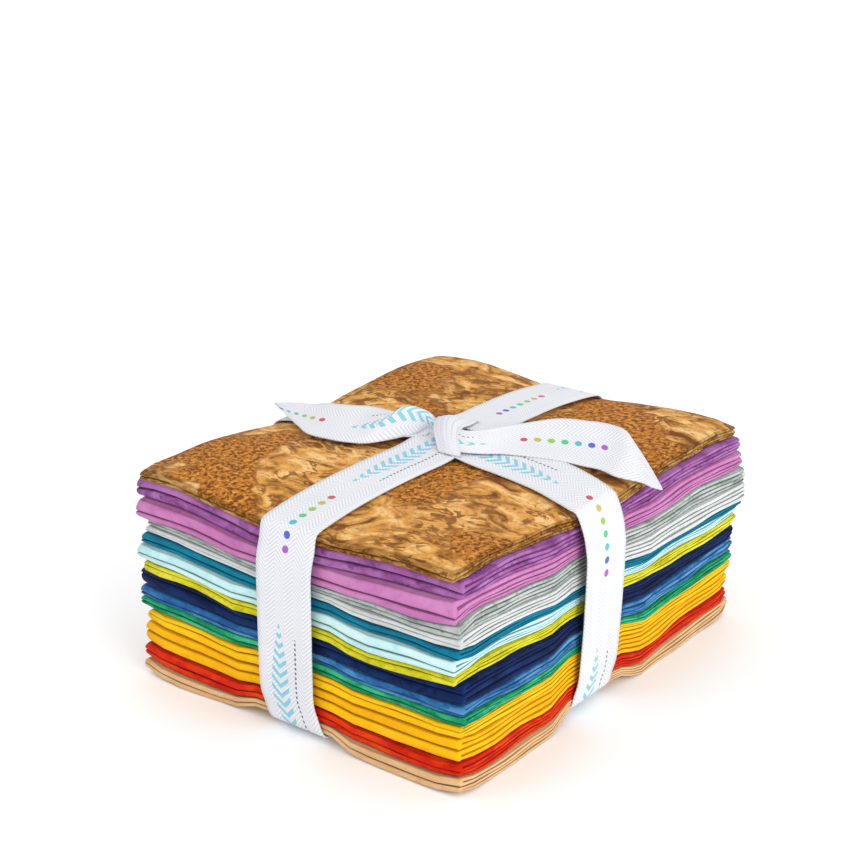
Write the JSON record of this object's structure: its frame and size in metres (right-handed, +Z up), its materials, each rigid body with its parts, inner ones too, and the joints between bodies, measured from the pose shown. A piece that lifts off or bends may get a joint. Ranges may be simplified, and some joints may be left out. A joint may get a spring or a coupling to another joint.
{
  "type": "fat quarter bundle",
  "caption": "Stack of folded quilting cotton cuts in rainbow colours, tied both ways with a white twill ribbon in a simple knot with two free tails.",
  "frame": {"origin": "middle of the flat underside of the ribbon, where its two bands cross under the stack", "axes": "+Z up out of the stack, +Y along the longer side of the folded cuts, +X along the shorter side; the folded edges face -Y"},
  "size_m": [0.1273, 0.147, 0.0745],
  "materials": {
    "cotton_tan": "mottled plain-weave cotton, soft matt",
    "cotton_red": "mottled plain-weave cotton, soft matt",
    "cotton_gold": "mottled plain-weave cotton, soft matt",
    "cotton_yellow": "mottled plain-weave cotton, soft matt",
    "cotton_green": "mottled plain-weave cotton, soft matt",
    "cotton_blue": "mottled plain-weave cotton, soft matt",
    "cotton_navy": "mottled plain-weave cotton, soft matt",
    "cotton_lime": "mottled plain-weave cotton, soft matt",
    "cotton_aqua": "mottled plain-weave cotton, soft matt",
    "cotton_teal": "mottled plain-weave cotton, soft matt",
    "cotton_cream": "mottled plain-weave cotton, soft matt",
    "cotton_sage": "mottled plain-weave cotton, soft matt",
    "cotton_pink": "mottled plain-weave cotton, soft matt",
    "cotton_purple": "mottled plain-weave cotton, soft matt",
    "cotton_brown": "mottled plain-weave cotton, soft matt",
    "ribbon_white": "herringbone twill, faint sheen"
  },
  "bodies": {
    "root": {"fat_quarter_tan": "cotton_tan", "fat_quarter_red": "cotton_red", "fat_quarter_gold": "cotton_gold", "fat_quarter_yellow": "cotton_yellow", "fat_quarter_green": "cotton_green", "fat_quarter_blue": "cotton_blue", "fat_quarter_navy": "cotton_navy", "fat_quarter_lime": "cotton_lime", "fat_quarter_aqua": "cotton_aqua", "fat_quarter_teal": "cotton_teal", "fat_quarter_cream": "cotton_cream", "fat_quarter_sage": "cotton_sage", "fat_quarter_pink": "cotton_pink", "fat_quarter_purple": "cotton_purple", "fat_quarter_brown": "cotton_brown", "tie_ribbon": "ribbon_white"}
  },
  "joints": []
}
